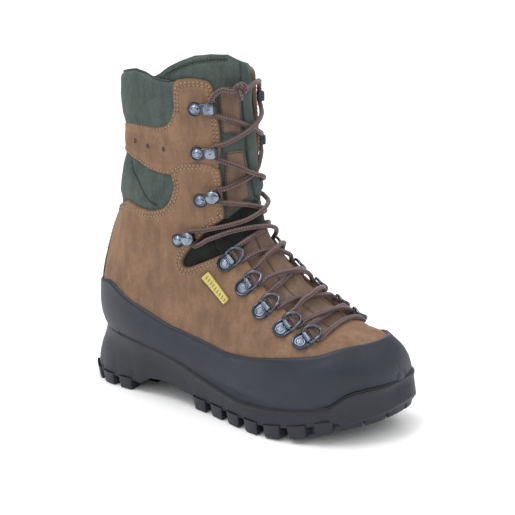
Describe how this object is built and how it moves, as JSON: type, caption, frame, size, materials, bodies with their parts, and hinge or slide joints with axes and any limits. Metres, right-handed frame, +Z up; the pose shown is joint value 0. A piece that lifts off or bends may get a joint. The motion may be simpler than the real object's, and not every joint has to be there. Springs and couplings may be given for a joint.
{
  "type": "mountaineering boot",
  "caption": "Laced mountaineering boot for the right foot: leather upper with rubber rand, lugged sole, swinging lace rings and a flexing cuff.",
  "frame": {"origin": "on the ground, under the middle of the boot's bounding box", "axes": "+X from heel to toe, +Y towards the medial side, +Z up"},
  "size_m": [0.3026, 0.1088, 0.2946],
  "materials": {
    "outsole": "matte dark rubber",
    "midsole": "matte",
    "shank": "brushed",
    "insole_board": "pressed fibre board",
    "footbed": "matte",
    "heel_counter": "matte",
    "toe_puff": "matte",
    "rand": "matte grey rubber",
    "vamp": "brown nubuck",
    "quarter_lateral": "brown nubuck",
    "quarter_medial": "brown nubuck",
    "lining_foot": "woven",
    "tongue_lower": "brown nubuck",
    "tongue_flex_panel": "stretch knit",
    "label_tag": "woven tape",
    "lace_lower": "braided",
    "lace_ankle_a": "braided",
    "lace_ankle_b": "braided",
    "clip_lateral_1": "dark polished",
    "clip_lateral_2": "dark polished",
    "clip_lateral_3": "dark polished",
    "clip_lateral_4": "dark polished",
    "clip_lateral_5": "dark polished",
    "clip_medial_1": "dark polished",
    "clip_medial_2": "dark polished",
    "clip_medial_3": "dark polished",
    "clip_medial_4": "dark polished",
    "clip_medial_5": "dark polished",
    "cuff_lateral": "brown nubuck",
    "cuff_medial": "brown nubuck",
    "backstay": "olive nubuck",
    "collar_pad": "green nubuck",
    "achilles_pad": "green nubuck",
    "lining_cuff": "woven",
    "tongue_upper": "green nubuck",
    "tongue_patch_1": "brown nubuck",
    "tongue_patch_2": "brown nubuck",
    "tongue_patch_3": "brown nubuck",
    "lace_upper_a": "braided",
    "lace_upper_b": "braided",
    "lace_knot": "braided",
    "hook_lateral_1": "dark polished",
    "hook_lateral_2": "dark polished",
    "hook_lateral_3": "dark polished",
    "hook_lateral_4": "dark polished",
    "hook_medial_1": "dark polished",
    "hook_medial_2": "dark polished",
    "hook_medial_3": "dark polished",
    "hook_medial_4": "dark polished",
    "ring_lateral_1": "dark polished",
    "ring_lateral_2": "dark polished",
    "ring_lateral_3": "dark polished",
    "ring_lateral_4": "dark polished",
    "ring_lateral_5": "dark polished",
    "ring_medial_1": "dark polished",
    "ring_medial_2": "dark polished",
    "ring_medial_3": "dark polished",
    "ring_medial_4": "dark polished",
    "ring_medial_5": "dark polished"
  },
  "bodies": {
    "foot": {"outsole": "outsole", "midsole": "midsole", "shank": "shank", "insole_board": "insole_board", "footbed": "footbed", "heel_counter": "heel_counter", "toe_puff": "toe_puff", "rand": "rand", "vamp": "vamp", "quarter_lateral": "quarter_lateral", "quarter_medial": "quarter_medial", "lining_foot": "lining_foot", "tongue_lower": "tongue_lower", "tongue_flex_panel": "tongue_flex_panel", "label_tag": "label_tag", "lace_lower": "lace_lower", "lace_ankle_a": "lace_ankle_a", "lace_ankle_b": "lace_ankle_b", "clip_lateral_1": "clip_lateral_1", "clip_lateral_2": "clip_lateral_2", "clip_lateral_3": "clip_lateral_3", "clip_lateral_4": "clip_lateral_4", "clip_lateral_5": "clip_lateral_5", "clip_medial_1": "clip_medial_1", "clip_medial_2": "clip_medial_2", "clip_medial_3": "clip_medial_3", "clip_medial_4": "clip_medial_4", "clip_medial_5": "clip_medial_5"},
    "cuff": {"cuff_lateral": "cuff_lateral", "cuff_medial": "cuff_medial", "backstay": "backstay", "collar_pad": "collar_pad", "achilles_pad": "achilles_pad", "lining_cuff": "lining_cuff", "tongue_upper": "tongue_upper", "tongue_patch_1": "tongue_patch_1", "tongue_patch_2": "tongue_patch_2", "tongue_patch_3": "tongue_patch_3", "lace_upper_a": "lace_upper_a", "lace_upper_b": "lace_upper_b", "lace_knot": "lace_knot", "hook_lateral_1": "hook_lateral_1", "hook_lateral_2": "hook_lateral_2", "hook_lateral_3": "hook_lateral_3", "hook_lateral_4": "hook_lateral_4", "hook_medial_1": "hook_medial_1", "hook_medial_2": "hook_medial_2", "hook_medial_3": "hook_medial_3", "hook_medial_4": "hook_medial_4"},
    "ring_lateral_1_body": {"ring_lateral_1": "ring_lateral_1"},
    "ring_lateral_2_body": {"ring_lateral_2": "ring_lateral_2"},
    "ring_lateral_3_body": {"ring_lateral_3": "ring_lateral_3"},
    "ring_lateral_4_body": {"ring_lateral_4": "ring_lateral_4"},
    "ring_lateral_5_body": {"ring_lateral_5": "ring_lateral_5"},
    "ring_medial_1_body": {"ring_medial_1": "ring_medial_1"},
    "ring_medial_2_body": {"ring_medial_2": "ring_medial_2"},
    "ring_medial_3_body": {"ring_medial_3": "ring_medial_3"},
    "ring_medial_4_body": {"ring_medial_4": "ring_medial_4"},
    "ring_medial_5_body": {"ring_medial_5": "ring_medial_5"}
  },
  "joints": [
    {"name": "ankle_flex", "type": "hinge", "parent": "foot", "child": "cuff", "pos_m": [-0.0279, 0.0023, 0.126], "axis": [0, 1, 0], "range_deg": [0, 10], "stiffness_Nm_per_rad": 30, "deforming": ["tongue_flex_panel", "lace_ankle_a", "lace_ankle_b"]},
    {"name": "ring_lateral_1_swing", "type": "hinge", "parent": "foot", "child": "ring_lateral_1_body", "pos_m": [0.09421, -0.03407, 0.0839], "axis": [0.8019, -0.1882, -0.5671], "range_deg": [0, 45]},
    {"name": "ring_lateral_2_swing", "type": "hinge", "parent": "foot", "child": "ring_lateral_2_body", "pos_m": [0.07732, -0.03628, 0.09163], "axis": [0.7925, -0.1504, -0.591], "range_deg": [0, 45]},
    {"name": "ring_lateral_3_swing", "type": "hinge", "parent": "foot", "child": "ring_lateral_3_body", "pos_m": [0.05717, -0.0364, 0.10301], "axis": [0.7992, -0.1315, -0.5864], "range_deg": [0, 45]},
    {"name": "ring_lateral_4_swing", "type": "hinge", "parent": "foot", "child": "ring_lateral_4_body", "pos_m": [0.03721, -0.03229, 0.1172], "axis": [0.7335, -0.2064, -0.6477], "range_deg": [0, 45]},
    {"name": "ring_lateral_5_swing", "type": "hinge", "parent": "foot", "child": "ring_lateral_5_body", "pos_m": [0.01828, -0.03029, 0.13345], "axis": [0.6633, -0.0357, -0.7475], "range_deg": [0, 45]},
    {"name": "ring_medial_1_swing", "type": "hinge", "parent": "foot", "child": "ring_medial_1_body", "pos_m": [0.09379, 0.03578, 0.081], "axis": [-0.7768, -0.2587, 0.5742], "range_deg": [0, 45]},
    {"name": "ring_medial_2_swing", "type": "hinge", "parent": "foot", "child": "ring_medial_2_body", "pos_m": [0.07666, 0.03622, 0.08823], "axis": [-0.7809, -0.2317, 0.5801], "range_deg": [0, 45]},
    {"name": "ring_medial_3_swing", "type": "hinge", "parent": "foot", "child": "ring_medial_3_body", "pos_m": [0.05624, 0.0347, 0.0988], "axis": [-0.7837, -0.1796, 0.5946], "range_deg": [0, 45]},
    {"name": "ring_medial_4_swing", "type": "hinge", "parent": "foot", "child": "ring_medial_4_body", "pos_m": [0.03571, 0.03245, 0.11202], "axis": [-0.695, -0.1858, 0.6946], "range_deg": [0, 45]},
    {"name": "ring_medial_5_swing", "type": "hinge", "parent": "foot", "child": "ring_medial_5_body", "pos_m": [0.01486, 0.03148, 0.12791], "axis": [-0.6437, -0.0747, 0.7616], "range_deg": [0, 45]}
  ]
}
